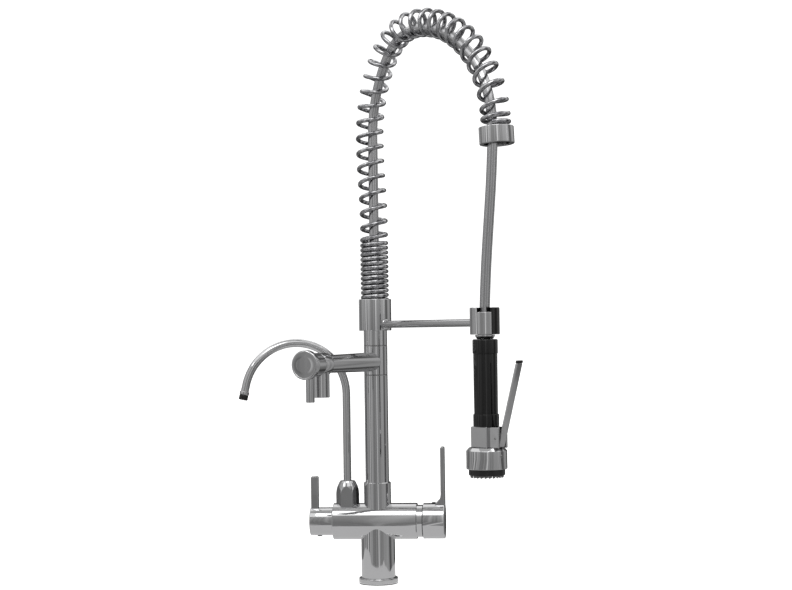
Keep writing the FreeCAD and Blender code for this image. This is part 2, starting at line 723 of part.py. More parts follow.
def build_spout():
    hub = ring("spout_hub", d.column_bore, d.column_radius, d.tee_low + 1.1, d.tee_high - 1.1, 0.2)
    hub.Placement = at(z=-float(d.spout_height))
    horn = cone("spout_horn", d.spout_root_radius, d.spout_tip_radius, d.block_start, along_x(0))
    horn_bore = cone("horn_bore", d.spout_root_radius - 2, d.spout_tip_radius - 2, d.block_start, along_x(0))
    hub_bore = cylinder("hub_bore", d.column_bore, 60, at(z=-30))
    keep(cut("horn_hollow", fuse("horn_joined", hub, horn), horn_bore, hub_bore), "spout_tube", SPOUT)
    block = ring("end_block", d.spout_tip_radius - 3, d.block_radius, 0, d.block_end - d.block_start, 0.4)
    block.Placement = along_x(float(d.block_start))
    middle = (float(d.block_start) + float(d.block_end)) / 2
    seat = cylinder("outlet_seat", d.outlet_radius - 0.5, 30, downwards(0, middle))
    keep(cut("end_block_ported", block, seat), "spout_end_block", SPOUT)
    housing = ring("outlet", 9.0, d.outlet_radius, 0, d.outlet_reach, 0.5)
    housing.Placement = downwards(0, middle)
    block_hull = cylinder("outlet_trim", d.block_radius + 0.02, d.block_end - 100, along_x(100))
    knob_hull = cylinder("outlet_relief", d.block_radius + 0.4, 40, along_x(float(d.block_end)))
    keep(cut("outlet_fitted", housing, block_hull, knob_hull), "aerator_housing", SPOUT)
    insert = ring("aerator_insert", 2.0, 8.9, 0, 9.0, 0.3)
    keep(insert, "aerator", SPOUT.multiply(downwards(-float(d.outlet_reach) + 9.6, middle)))


def build_diverter():
    knob_start = d.block_end + 0.3
    sleeve = ring("knob_sleeve", 8.0, d.block_radius, 0, d.knob_end - knob_start, 0.4)
    sleeve.Placement = along_x(float(knob_start))
    pin_hole = cylinder("pin_seat", 3.0, 20, downwards(0, float(d.pin_place)))
    cap = turned("knob_cap", [
        (0, 0),
        (d.knob_cap_radius - 0.8, 0),
        (d.knob_cap_radius, 0.8),
        (d.knob_cap_radius, 7.6),
        (d.knob_cap_radius - 1.0, d.knob_cap_end - d.knob_end),
        (0, d.knob_cap_end - d.knob_end + 0.8),
    ])
    cap.Placement = along_x(float(d.knob_end))
    keep(cut("knob_drilled", fuse("knob_joined", sleeve, cap), pin_hole), "diverter_knob", SPOUT)
    pin = ring("pin_rod", 0, d.pin_radius, 0, d.pin_reach, 0.5)
    pin.Placement = downwards(0, float(d.pin_place))
    sleeve_hull = cylinder("pin_trim", d.block_radius + 0.02, 60, along_x(140))
    keep(cut("pin_fitted", pin, sleeve_hull), "diverter_pin", SPOUT)
    spool = cylinder("spool", 7.9, 38, along_x(138))
    window = cylinder("spool_window", 5.0, 20, downwards(0, 144.2))
    keep(cut("spool_cut", spool, window), "diverter_spool", SPOUT)


# ---------------------------------------------------------------- spring, hose, arm and holder


def spring_route():
    bow = math.degrees(math.acos(1 - float(d.arch_bow) / (2 * float(d.bow_radius))))
    bow_height = 2 * float(d.bow_radius) * math.sin(math.radians(bow))
    foot = 362.0
    return (Route(0, foot).run(float(d.arch_foot) - bow_height - foot)
            .arc(float(d.bow_radius), bow).arc(float(d.bow_radius), -bow)
            .arc(float(d.arch_one), -38).arc(float(d.arch_two), -52)
            .arc(float(d.arch_three), -50).arc(float(d.arch_four), -(40 - END_NUT_TILT)).run(12.0))


def riser_route():
    lean = float(d.hose_lean)
    route = (Route(lean - float(d.arch_bow), 353.0).run(float(d.arch_foot) - 353.0)
             .arc(float(d.arch_one) - lean, -38).arc(float(d.arch_two) - lean, -52)
             .arc(float(d.arch_three) - lean, -50).arc(float(d.arch_four) - lean, -40))
    return route.run(route.point.z - HOSE_START)


def build_spring():
    collar = ring("collar_blank", d.hose_radius + 1.0, d.collar_radius, d.collar_low, d.collar_high, 0.7)
    column_seat = cylinder("collar_seat", d.column_radius, 15.7, at(z=d.collar_low))
    spring_seat = cylinder("spring_seat", d.coil_radius + 0.1, 20, at(z=361.9))
    rod_hole = cylinder("rod_hole", d.rod_radius, 10, along_x(17.5, 0, d.rod_height))
    keep(cut("collar_bored", collar, column_seat, spring_seat, rod_hole), "spring_collar", ARM)
    route = spring_route()
    keep(pipe("coil", route, d.coil_radius, d.coil_bore), "support_spring", ARM)
    # The end nut sits over the spring's last turns, square to the spring's end.
    nut_place = Placement(route.point, Rotation(Z_AXIS, route.ahead())).multiply(at(z=-2.0))
    keep(turned("end_nut_blank", [
        (16.0, 2.1),
        (d.coil_radius + 0.1, 2.1),
        (d.coil_radius + 0.1, 0),
        (d.end_nut_radius - 0.8, 0),
        (d.end_nut_radius, 0.8),
        (d.end_nut_radius, d.end_nut_length - 0.8),
        (d.end_nut_radius - 0.8, d.end_nut_length),
        (16.0, d.end_nut_length),
    ]), "end_nut", ARM.multiply(nut_place))
    riser = riser_route()
    print("riser hose:", round(riser.length, 1), "long, ends at", round(riser.point.x, 2), round(riser.point.z, 2))
    keep(pipe("riser", riser, d.hose_radius, d.hose_bore), "riser_hose", ARM)
    keep(pipe("hose", corner_route(HOSE_POINTS), d.hose_radius), "spray_hose", ARM)


def build_arm():
    rod = ring("rod", 0, d.rod_radius, 0, d.holder_reach - d.holder_radius - 9.5, 0.2)
    rod.Placement = along_x(17.6, 0, d.rod_height)
    boss = ring("boss", 2.0, 6.6, 0, 6.0, 0.6)
    boss.Placement = along_x(20.0, 0, d.rod_height)
    boss_trim = cylinder("boss_trim", d.collar_radius + 0.02, 60, at(z=320))
    keep(fuse("rod_joined", rod, cut("boss_fitted", boss, boss_trim)), "arm_rod", ARM)
    shell = ring("shell", 9.9, d.holder_radius, d.holder_low, d.holder_high, 0.7)
    mouth = box("mouth", d.mouth_width, 30, 60, 0, -15, 310)
    jaw_gap = box("jaw_gap", 20, 27, 60, 19.2, -6.5, 310)
    rod_arrival = Rotation(Z_AXIS, ARM_AZIMUTH)
    rod_socket = cylinder("rod_socket", d.rod_radius + 0.05, 30,
                          Placement(Vector(0, 0, float(d.rod_height)), rod_arrival).multiply(along_x(-40)))
    keep(cut("shell_open", shell, mouth, jaw_gap, rod_socket), "holder_shell", HOLDER)
    liner_ring = ring("liner_ring", 9.3, 9.85, d.holder_low, d.holder_high, 0.2)
    jaw = common("jaw", ring("jaw_ring", 9.4, d.holder_radius - 0.05, d.holder_low, d.holder_high, 0.7),
                 box("jaw_side", 20, 26.8, 60, 19.25, -6.5, 310))
    lip = box("lip", 4.0, 6.0, 5.0, 9.0, -6.0, 356.9)
    liner_mouth = box("liner_mouth", d.mouth_width, 30, 60, 0, -15, 310)
    opened = cut("liner_open", fuse("liner_joined", liner_ring, jaw), liner_mouth)
    keep(fuse("liner", opened, lip), "holder_liner", HOLDER)


# ---------------------------------------------------------------- spray head


def build_head():
    ferrule = turned("ferrule", [
        (4.0, 323.4),
        (9.9, 323.4),
        (12.1, 327.0),
        (12.1, 328.7),
        (d.ferrule_radius, 328.7),
        (d.ferrule_radius, d.ferrule_top - 0.6),
        (d.ferrule_radius - 0.6, d.ferrule_top),
        (4.0, d.ferrule_top),
    ])
    # The ferrule's key fills the holder's mouth, flush with the holder's outside.
    key_block = box("key_block", d.mouth_width - 0.6, 12.0, d.ferrule_top - 0.5 - d.holder_low, 0, -12.0, 329.3)
    key = common("ferrule_key", key_block, cylinder("key_hull", d.holder_radius - 0.3, 400))
    key.Placement = at(angle=-LEVER_AZIMUTH)
    keep(fuse("ferrule_keyed", ferrule, key), "hose_ferrule", HEAD)
    keep(ring("core_tube", 4.0, 7.0, d.grip_low + 0.1, d.grip_top - 0.1, 0.3), "grip_core_tube", HEAD)
    keep(ring("grip", 7.1, d.grip_radius, 232.1, 305.5, 0.2), "grip_sleeve", HEAD)
    keep(ring("grip_upper", 7.1, 15.5, 305.6, d.grip_top, 1.2), "grip_top_collar", HEAD)
    keep(ring("grip_lower", 7.1, 15.9, d.grip_low, 232.0, 0.8), "grip_bottom_collar", HEAD)
    back = -2.0
    height = d.grip_low - 0.1 - d.valve_low
    block = box("valve_block", d.valve_length, d.valve_width, height, back, 0, d.valve_low)
    ears = [box(f"ear_{side}", 19, 3.0, 25.5, 18.5, side * 6.9, d.valve_low) for side in (-1, 1)]
    tools = [
        cylinder("valve_bore", 4.0, 40, at(0, 0, 188)),
        cylinder("plunger_bore", 1.9, 20, along_x(0, 0, 211)),
        cylinder("pivot_bore", 1.55, 30, at(d.lever_pivot, 15, d.lever_pivot_height, X_AXIS, 90)),
    ]
    keep(cut("valve_drilled", fuse("valve_joined", block, *ears), *tools), "spray_valve_body", HEAD)
    keep(cylinder("pivot_rod", 1.5, 17.4), "lever_pin",
         HEAD.multiply(at(d.lever_pivot, 8.7, d.lever_pivot_height, X_AXIS, 90)))
    shoulder = d.valve_low - 0.1
    spray_ring = turned("spray_shell", [
        (4.0, shoulder),
        (21.6, shoulder),
        (d.ring_radius, 187.4),
        (d.ring_radius, d.ring_low + 0.6),
        (d.ring_radius - 0.6, d.ring_low),
        (d.face_radius + 0.2, d.ring_low),
        (d.face_radius + 0.2, 180.0),
        (4.0, 180.0),
    ])
    screw_hole = cylinder("ring_screw_hole", 2.05, 4, along_x(d.ring_radius - 2.5, 0, 181.2))
    keep(cut("spray_shell_drilled", spray_ring, screw_hole), "spray_ring", HEAD)
    keep(turned("ring_grub", [(0, 0), (2.0, 0), (2.0, 2.6), (1.4, 3.0), (0, 3.0)]), "ring_screw",
         HEAD.multiply(along_x(float(d.ring_radius) - 2.4, 0, 181.2)))
    keep(ring("face", 0, d.face_radius, d.face_low, 179.9, 0.8), "spray_face", HEAD)
    build_nozzles()


def build_nozzles():
    """Rubber nozzles in rings under the spray face."""
    nubs = []
    for radius, count in ((5.0, 6), (10.0, 12), (15.0, 18), (19.5, 24)):
        for index in range(count):
            angle = 2 * math.pi * (index + 0.5) / count
            x = radius * math.cos(angle)
            y = radius * math.sin(angle)
            place = downwards(float(d.face_low) - 0.02, x, y)
            nubs.append(cone(f"nub_{int(radius)}_{index}", 1.3, 0.9, 3.0, place))
    group = doc.addObject("Part::Compound", "nubs")
    group.Links = nubs
    keep(group, "spray_nozzles", HEAD)


def build_spray_lever():
    """The lever's bar leans out from its knuckle on the pivot pin."""
    lean = math.radians(float(d.lever_tilt))
    low = 192.6
    high = 297.6
    half = float(d.lever_thickness) / 2
    root = 23.5 + math.tan(lean) * (low - 190.0)
    tip = 23.5 + math.tan(lean) * (high - 190.0)
    bar = extruded("lever_bar", [
        (root - half, low),
        (root + half, low),
        (tip + half, high),
        (tip - half, high),
    ], d.lever_width)
    knuckle = cylinder("knuckle", 4.4, d.lever_width,
                       at(d.lever_pivot, 5.0, d.lever_pivot_height, X_AXIS, 90))
    web = box("lever_web", 6.0, d.lever_width, 8.0, 25.0, 0, 199.0)
    bore = cylinder("knuckle_bore", 1.55, 20, at(d.lever_pivot, 10, d.lever_pivot_height, X_AXIS, 90))
    keep(cut("lever_drilled", fuse("lever_joined", bar, knuckle, web), bore), "spray_lever", HEAD)
    keep(ring("plunger", 0, 1.8, 0, 21.5, 0.3), "spray_plunger", HEAD.multiply(along_x(6.4, 0, 211)))


# ---------------------------------------------------------------- build, check and write


def check_and_write():
    doc.recompute()
    faults = [thing.Name for thing in doc.Objects if {"Invalid", "Error"} & set(thing.State)]
    if faults:
        raise RuntimeError(f"failed objects: {faults}")
    for piece in subparts:
        if piece.Shape.isNull() or not piece.Shape.isValid():
            raise RuntimeError(f"bad shape: {piece.Label}")
        if not piece.Shape.Solids:
            raise RuntimeError(f"no solid: {piece.Label}")
    os.makedirs("parts", exist_ok=True)
    for piece in subparts:
        piece.Shape.exportStep(f"parts/{piece.Label}.step")
        print(f"{piece.Label}: {len(piece.Shape.Solids)} solids, {piece.Shape.Volume:.0f} mm3")
    print(len(subparts), "nodes")


build_foot()
build_mixer_body()
build_column()
build_cartridge()
build_mixer_lever()
build_filter_valve()
build_gooseneck()
build_spout()
build_diverter()
build_spring()
build_arm()
build_head()
build_spray_lever()
check_and_write()
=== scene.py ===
"""Looks of the spring kitchen mixer: materials, the wire spring, the braided hoses, softened edges and light.

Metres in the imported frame. Sizes written in millimetres go through MM.
"""
import bpy
import bmesh
import json
import math
from mathutils import Matrix, Vector


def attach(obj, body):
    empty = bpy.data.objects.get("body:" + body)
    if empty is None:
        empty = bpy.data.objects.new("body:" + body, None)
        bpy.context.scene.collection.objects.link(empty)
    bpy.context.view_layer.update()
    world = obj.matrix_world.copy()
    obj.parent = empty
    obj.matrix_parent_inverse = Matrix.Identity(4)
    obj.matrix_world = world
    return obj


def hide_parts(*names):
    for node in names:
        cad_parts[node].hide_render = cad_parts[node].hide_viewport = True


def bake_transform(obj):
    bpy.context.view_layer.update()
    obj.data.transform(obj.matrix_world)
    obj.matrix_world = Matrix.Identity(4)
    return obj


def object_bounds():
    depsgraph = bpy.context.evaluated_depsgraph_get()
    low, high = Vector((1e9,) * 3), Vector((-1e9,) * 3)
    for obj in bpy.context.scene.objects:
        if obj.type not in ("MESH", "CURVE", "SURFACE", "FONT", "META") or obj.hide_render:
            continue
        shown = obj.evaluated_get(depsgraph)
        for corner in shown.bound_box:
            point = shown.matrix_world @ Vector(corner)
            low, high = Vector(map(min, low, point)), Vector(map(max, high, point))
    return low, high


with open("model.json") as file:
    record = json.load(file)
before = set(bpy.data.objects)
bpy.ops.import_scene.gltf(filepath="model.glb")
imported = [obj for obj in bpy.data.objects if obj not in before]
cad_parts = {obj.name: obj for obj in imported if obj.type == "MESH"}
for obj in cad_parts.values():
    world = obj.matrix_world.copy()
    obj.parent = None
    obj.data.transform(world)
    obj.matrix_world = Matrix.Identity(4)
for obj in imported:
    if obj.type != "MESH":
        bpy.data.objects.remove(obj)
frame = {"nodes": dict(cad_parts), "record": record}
cad_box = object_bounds()

MM = 0.001
FULL_TURN = 2 * math.pi
DOWN = Matrix.Rotation(math.pi, 4, "X")
TO_X = Matrix.Rotation(math.pi / 2, 4, "Y")
FROM_X = Matrix.Rotation(-math.pi / 2, 4, "Y")

CROSS_HEIGHT = 82.0
SPOUT_HEIGHT = 294.0
SPOUT_AZIMUTH = -113.0
ARM_AZIMUTH = -49.0
LEVER_AZIMUTH = -42.0
GOOSENECK_AZIMUTH = -156.0
GOOSENECK_OFFSET = 40.0
HOLDER_REACH = 232.0


def shift(x=0.0, y=0.0, z=0.0):
    """A move in millimetres."""
    return Matrix.Translation(Vector((x, y, z)) * MM)


def turn(degrees):
    return Matrix.Rotation(math.radians(degrees), 4, "Z")


ARM = turn(ARM_AZIMUTH)
SPOUT = shift(0, 0, SPOUT_HEIGHT) @ turn(SPOUT_AZIMUTH)
HEAD_CENTRE = ARM @ Vector((HOLDER_REACH * MM, 0, 0))
HEAD = Matrix.Translation(HEAD_CENTRE) @ turn(LEVER_AZIMUTH)
HOLDER = Matrix.Translation(HEAD_CENTRE)
GOOSENECK = shift(-GOOSENECK_OFFSET, 0, 0) @ turn(GOOSENECK_AZIMUTH)

# ---------------------------------------------------------------- camera


def place_camera():
    """A long lens a little above the spout's height, from 5 degrees to the right of square on."""
    azimuth = math.radians(5.0)
    pitch = math.radians(1.2)
    roll = math.radians(0.8)
    distance = 2.230
    aside = 0.0283
    height = 0.336
    right = Vector((math.cos(azimuth), math.sin(azimuth), 0))
    level = Vector((-math.sin(azimuth), math.cos(azimuth), 0))
    ahead = level * math.cos(pitch) + Vector((0, 0, math.sin(pitch)))
    up = right.cross(ahead)
    leaned_up = up * math.cos(roll) + right * math.sin(roll)
    leaned_right = right * math.cos(roll) - up * math.sin(roll)
    data = bpy.data.cameras.new("camera")
    data.sensor_width = 36.0
    data.lens = 75.9
    data.clip_start = 0.05
    camera = bpy.data.objects.new("camera", data)
    place = Matrix((leaned_right, leaned_up, -ahead)).transposed().to_4x4()
    place.translation = right * aside - level * distance + Vector((0, 0, height))
    camera.matrix_world = place
    bpy.context.scene.collection.objects.link(camera)
    bpy.context.scene.camera = camera


# ---------------------------------------------------------------- materials


class Shader:
    """A node material around one Principled shader."""

    def __init__(self, name, colour, metallic, roughness, **settings):
        self.material = bpy.data.materials.new(name)
        self.material.use_nodes = True
        self.tree = self.material.node_tree
        self.shader = self.tree.nodes["Principled BSDF"]
        self.set("Base Color", (*colour, 1.0))
        self.set("Metallic", metallic)
        self.set("Roughness", roughness)
        for socket, value in settings.items():
            self.set(socket.replace("_", " "), value)

    def set(self, socket, value):
        self.shader.inputs[socket].default_value = value

    def node(self, kind, **inputs):
        made = self.tree.nodes.new(kind)
        for socket, value in inputs.items():
            made.inputs[socket.replace("_", " ")].default_value = value
        return made

    def link(self, source, target):
        self.tree.links.new(source, target)

    def coordinates(self, output, stretch=(1, 1, 1), turned=(0, 0, 0)):
        place = self.node("ShaderNodeTexCoord")
        mapping = self.node("ShaderNodeMapping")
        mapping.inputs["Scale"].default_value = stretch
        mapping.inputs["Rotation"].default_value = turned
        self.link(place.outputs[output], mapping.inputs["Vector"])
        return mapping.outputs["Vector"]

    def noise(self, vector, scale, detail=3.0):
        made = self.node("ShaderNodeTexNoise", Scale=scale, Detail=detail)
        self.link(vector, made.inputs["Vector"])
        return made.outputs["Fac"]

    def spread(self, source, low, high, from_low=0.3, from_high=0.7):
        """Maps a noise's middle range to low..high."""
        made = self.node("ShaderNodeMapRange")
        limits = {"From Min": from_low, "From Max": from_high, "To Min": low, "To Max": high}
        for socket, value in limits.items():
            made.inputs[socket].default_value = value
        self.link(source, made.inputs["Value"])
        return made.outputs["Result"]

    def maths(self, operation, first, second):
        made = self.tree.nodes.new("ShaderNodeMath")
        made.operation = operation
        for index, value in enumerate((first, second)):
            if isinstance(value, (int, float)):
                made.inputs[index].default_value = value
            else:
                self.link(value, made.inputs[index])
        return made.outputs["Value"]

    def bump(self, height, strength, distance):
        made = self.node("ShaderNodeBump", Strength=strength, Distance=distance)
        self.link(height, made.inputs["Height"])
        self.link(made.outputs["Normal"], self.shader.inputs["Normal"])

    def mix(self, factor, first, second):
        """Colours the surface between two colours."""
        ramp = self.tree.nodes.new("ShaderNodeValToRGB")
        ramp.color_ramp.elements[0].color = (*first, 1.0)
        ramp.color_ramp.elements[1].color = (*second, 1.0)
        self.link(factor, ramp.inputs["Fac"])
        self.link(ramp.outputs["Color"], self.shader.inputs["Base Color"])


def chrome(name, tone=0.55, smudge=0.05, wave=0.12):
    """Polished plate: faint wiping marks in the gloss and the slight waviness of polished brass under it."""
    made = Shader(name, (tone, tone, tone * 1.01), 1.0, 0.07)
    place = made.coordinates("Object")
    marks = made.noise(place, scale=28.0, detail=6.0)
    made.link(made.spread(marks, 0.04, 0.04 + smudge), made.shader.inputs["Roughness"])
    film = made.noise(place, scale=9.0, detail=4.0)
    made.mix(film, (tone * 0.94, tone * 0.94, tone * 0.95), (tone * 1.05, tone * 1.05, tone * 1.06))
    made.bump(made.noise(place, scale=42.0, detail=1.0), strength=wave, distance=0.00025)
    return made.material


def machined_steel(name, tone):
    made = Shader(name, (tone, tone, tone), 1.0, 0.3)
    place = made.coordinates("Object")
    grain = made.noise(place, scale=900.0)
    made.link(made.spread(grain, 0.22, 0.42), made.shader.inputs["Roughness"])
    made.mix(made.noise(place, scale=160.0), (tone * 0.8,) * 3, (tone * 1.15,) * 3)
    made.bump(grain, strength=0.2, distance=0.0001)
    return made.material


def machined_brass():
    made = Shader("machined_brass", (0.62, 0.47, 0.24), 1.0, 0.3)
    grooves = made.noise(made.coordinates("Object", stretch=(1, 1, 14)), scale=260.0, detail=2.0)
    made.link(made.spread(grooves, 0.2, 0.38), made.shader.inputs["Roughness"])
    patches = made.noise(made.coordinates("Object"), scale=60.0)
    made.mix(patches, (0.55, 0.41, 0.2), (0.68, 0.53, 0.29))
    made.bump(grooves, strength=0.25, distance=0.0001)
    return made.material


def moulding(name, tone, rough, gloss):
    """Moulded plastic with a fine orange-peel skin and a little dust in its gloss."""
    made = Shader(name, (tone,) * 3, 0.0, rough)
    made.set("Specular IOR Level", gloss)
    place = made.coordinates("Object")
    dust = made.noise(place, scale=75.0, detail=6.0)
    made.link(made.spread(dust, rough * 0.8, rough * 1.35), made.shader.inputs["Roughness"])
    made.mix(made.noise(place, scale=24.0, detail=4.0), (tone * 0.75,) * 3, (tone * 1.35,) * 3)
    made.bump(made.noise(place, scale=700.0, detail=2.0), strength=0.06, distance=0.0001)
    return made.material


def soft_rubber():
    made = Shader("soft_rubber", (0.045,) * 3, 0.0, 0.6, Sheen_Weight=0.15)
    place = made.coordinates("Object")
    wear = made.noise(place, scale=210.0, detail=4.0)
    made.link(made.spread(wear, 0.5, 0.75), made.shader.inputs["Roughness"])
    made.mix(made.noise(place, scale=60.0), (0.03,) * 3, (0.07,) * 3)
    made.bump(made.noise(place, scale=1500.0, detail=2.0), strength=0.3, distance=0.0001)
    return made.material


def ground_ceramic():
    made = Shader("ground_ceramic", (0.78, 0.77, 0.73), 0.0, 0.2)
    place = made.coordinates("Object")
    made.link(made.spread(made.noise(place, scale=320.0), 0.12, 0.3), made.shader.inputs["Roughness"])
    made.mix(made.noise(place, scale=90.0), (0.74, 0.73, 0.69), (0.82, 0.81, 0.77))
    return made.material


def steel_braid():
    """A fine braid: two sets of strands that cross, over UVs in metres along and round the hose."""
    made = Shader("steel_braid", (0.5, 0.5, 0.51), 1.0, 0.3)
    strand = 0.0011
    lay = math.radians(52)
    bands_at_scale_one = 3.2
    waves = []
    for side in (1, -1):
        place = made.coordinates("UV", turned=(0, 0, side * lay))
        wave = made.node("ShaderNodeTexWave", Scale=1.0 / strand / bands_at_scale_one)
        wave.wave_type = "BANDS"
        wave.bands_direction = "X"
        made.link(place, wave.inputs["Vector"])
        waves.append(wave.outputs["Fac"])
    weave = made.maths("MAXIMUM", waves[0], waves[1])
    made.mix(weave, (0.18, 0.18, 0.18), (0.62, 0.62, 0.63))
    made.link(made.spread(weave, 0.16, 0.06, 0.0, 1.0), made.shader.inputs["Roughness"])
    made.bump(weave, strength=0.12, distance=0.0002)
    return made.material


def spring_wire():
    """Plated wire: drawing lines, and light and dark patches in its colour that are painted highlights and
    painted shade, over UVs in metres along and round the wire.
    """
    made = Shader("spring_wire", (0.4, 0.4, 0.41), 1.0, 0.08)
    lines = made.noise(made.coordinates("UV", stretch=(6, 900, 1)), scale=1.0)
    made.link(made.spread(lines, 0.05, 0.12), made.shader.inputs["Roughness"])
    # Painted highlights and painted shade: the wire's colour swings between dark and light patches to stand
    # in for the glints of a lit wire.
    painted_highlight_noise = made.noise(made.coordinates("UV", stretch=(130, 260, 1)), scale=1.0)
    patches = made.spread(painted_highlight_noise, 0.0, 1.0, from_low=0.36, from_high=0.62)
    made.mix(patches, (0.16, 0.16, 0.17), (0.58, 0.58, 0.59))
    made.bump(lines, strength=0.08, distance=0.0001)
    return made.material


def make_materials():
    return {
        "chrome": chrome("polished_chrome"),
        "spring_chrome": spring_wire(),
        "steel": machined_steel("machined_steel", 0.32),
        "brass": machined_brass(),
        "black_gloss": moulding("black_gloss", tone=0.003, rough=0.06, gloss=0.45),
        "black_matt": moulding("black_matt", tone=0.007, rough=0.30, gloss=0.3),
        "rubber": soft_rubber(),
        "ceramic": ground_ceramic(),
        "braided_steel": steel_braid(),
    }


def dress_cast_parts():
    """Flat and cast faces are less even under their plate than turned ones."""
    cast = chrome("cast_chrome", wave=0.9)
    for name in ("valve_block", "trigger", "mixer_blade", "filter_blade"):
        bpy.data.objects[name].data.materials[0] = cast
    frame["nodes"]["bell_nut"].data.materials[0] = cast


def dress_cad_nodes(materials):
    """Every carried-over node takes the material of its slot."""
    for part in frame["record"]["subparts"]:
        node = frame["nodes"][part["node"]]
        node.data.materials.clear()
        node.data.materials.append(materials[part["material_slot"]])


# ---------------------------------------------------------------- building pieces

LATHE_SIDES = 112
FINE_LATHE_SIDES = 144
SMALL_LATHE_SIDES = 64
SHARP_ANGLE = math.radians(35)
TUBE_SHARP_ANGLE = math.radians(50)
BEVEL_ANGLE = math.radians(28)


def place_in_scene(name, data):
    made = bpy.data.objects.new(name, data)
    bpy.context.scene.collection.objects.link(made)
    return made


def piece(name, mesh, body, material_slot, *nodes):
    """Links a mesh as a piece that rides on a body and stands for CAD nodes."""
    made = place_in_scene(name, mesh)
    mesh.materials.append(materials[material_slot])
    if body:
        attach(made, body)
    if nodes:
        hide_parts(*nodes)
    return made


def mesh_of(shape, name):
    """Turns a bmesh into a mesh."""
    mesh = bpy.data.meshes.new(name)
    shape.to_mesh(mesh)
    shape.free()
    return mesh


def smooth_mesh_of(shape, name, sharp_angle=None):
    """A smooth-shaded mesh, split at edges over the sharp angle."""
    mesh = mesh_of(shape, name)
    mesh.polygons.foreach_set("use_smooth", [True] * len(mesh.polygons))
    mesh.update()
    if sharp_angle is not None:
        mesh.set_sharp_from_angle(angle=sharp_angle)
    return mesh


def rounded(corners, steps=5):
    """A closed outline in (radius, height) with each corner's own rounding: (radius, height, rounding)."""
    points = []
    count = len(corners)
    for index, corner in enumerate(corners):
        here = Vector(corner[:2])
        rounding = corner[2] if len(corner) > 2 else 0.0
        if rounding == 0:
            points.append(here)
            continue
        before = Vector(corners[index - 1][:2]) - here
        after = Vector(corners[(index + 1) % count][:2]) - here
        angle = before.angle(after)
        trim = min(rounding / math.tan(angle / 2), before.length * 0.49, after.length * 0.49)
        radius = trim * math.tan(angle / 2)
        middle = (before.normalized() + after.normalized()).normalized()
        centre = here + middle * (radius / math.sin(angle / 2))
        start = here + before.normalized() * trim - centre
        sweep = start.angle_signed(here + after.normalized() * trim - centre)
        for step in range(steps + 1):
            turned = Matrix.Rotation(-sweep * step / steps, 2) @ start
            points.append(centre + turned)
    return points


def lathe(name, corners, place, body, material_slot, *nodes, segments=LATHE_SIDES):
    """A turned piece with rounded edges. Corners on the axis close it."""
    outline = rounded(corners)
    shape = bmesh.new()
    rings = []
    for radius, height in outline:
        if radius < 1e-6:
            rings.append([shape.verts.new((0, 0, height * MM))])
            continue
        ring = []
        for index in range(segments):
            angle = FULL_TURN * index / segments
            point = (radius * MM * math.cos(angle), radius * MM * math.sin(angle), height * MM)
            ring.append(shape.verts.new(point))
        rings.append(ring)
    for index, ring in enumerate(rings):
        following = rings[(index + 1) % len(rings)]
        if len(ring) == 1 and len(following) == 1:
            continue
        for step in range(segments):
            beside = (step + 1) % segments
            if len(ring) == 1:
                shape.faces.new((ring[0], following[step], following[beside]))
            elif len(following) == 1:
                shape.faces.new((ring[step], following[0], ring[beside]))
            else:
                shape.faces.new((ring[step], following[step], following[beside], ring[beside]))
    bmesh.ops.recalc_face_normals(shape, faces=shape.faces)
    shape.transform(place)
    piece(name, smooth_mesh_of(shape, name, SHARP_ANGLE), body, material_slot, *nodes)


def bevelled(name, shape, place, body, material_slot, nodes, width):
    """A piece from a bmesh, with its edges rounded."""
    bmesh.ops.recalc_face_normals(shape, faces=shape.faces)
    shape.transform(place)
    made = piece(name, smooth_mesh_of(shape, name), body, material_slot, *nodes)
    bevel = made.modifiers.new("edges", "BEVEL")
    bevel.width = width * MM
    bevel.segments = 3
    bevel.limit_method = "ANGLE"
    bevel.angle_limit = BEVEL_ANGLE
    bevel.harden_normals = True


def plate(name, outline, width, place, body, material_slot, nodes, rounding):
    """A blade: an outline in XZ, given width across Y, with rounded edges."""
    shape = bmesh.new()
    near = [shape.verts.new((x * MM, -width / 2 * MM, z * MM)) for x, z in outline]
    far = [shape.verts.new((x * MM, width / 2 * MM, z * MM)) for x, z in outline]
    shape.faces.new(near)
    shape.faces.new(list(reversed(far)))
    count = len(outline)
    for index in range(count):
        beside = (index + 1) % count
        shape.faces.new((near[index], far[index], far[beside], near[beside]))
    bevelled(name, shape, place, body, material_slot, nodes, rounding)


def tube_mesh(name, points, radius, sides, start_axis):
    """A tube along points in metres, with UVs in metres: along the tube and round it."""
    shape = bmesh.new()
    uv = shape.loops.layers.uv.new("UVMap")
    tangents = []
    for index in range(len(points)):
        before = points[max(index - 1, 0)]
        after = points[min(index + 1, len(points) - 1)]
        tangents.append((after - before).normalized())
    across = (start_axis - tangents[0] * start_axis.dot(tangents[0])).normalized()
    rings = []
    along = [0.0]
    for index, (point, tangent) in enumerate(zip(points, tangents)):
        across = (across - tangent * across.dot(tangent)).normalized()
        other = tangent.cross(across)
        ring = []
        for side in range(sides):
            angle = FULL_TURN * side / sides
            outward = across * math.cos(angle) + other * math.sin(angle)
            ring.append(shape.verts.new(point + outward * radius))
        rings.append(ring)
        if index:
            along.append(along[-1] + (point - points[index - 1]).length)
    girth = FULL_TURN * radius
    for index in range(len(rings) - 1):
        for side in range(sides):
            beside = (side + 1) % sides
            face = shape.faces.new((rings[index][side], rings[index][beside],
                                    rings[index + 1][beside], rings[index + 1][side]))
            marks = ((index, side), (index, side + 1), (index + 1, side + 1), (index + 1, side))
            for loop, (row, column) in zip(face.loops, marks):
                loop[uv].uv = (along[row], girth * column / sides)
    shape.faces.new(list(reversed(rings[0])))
    shape.faces.new(rings[-1])
    return smooth_mesh_of(shape, name, TUBE_SHARP_ANGLE)


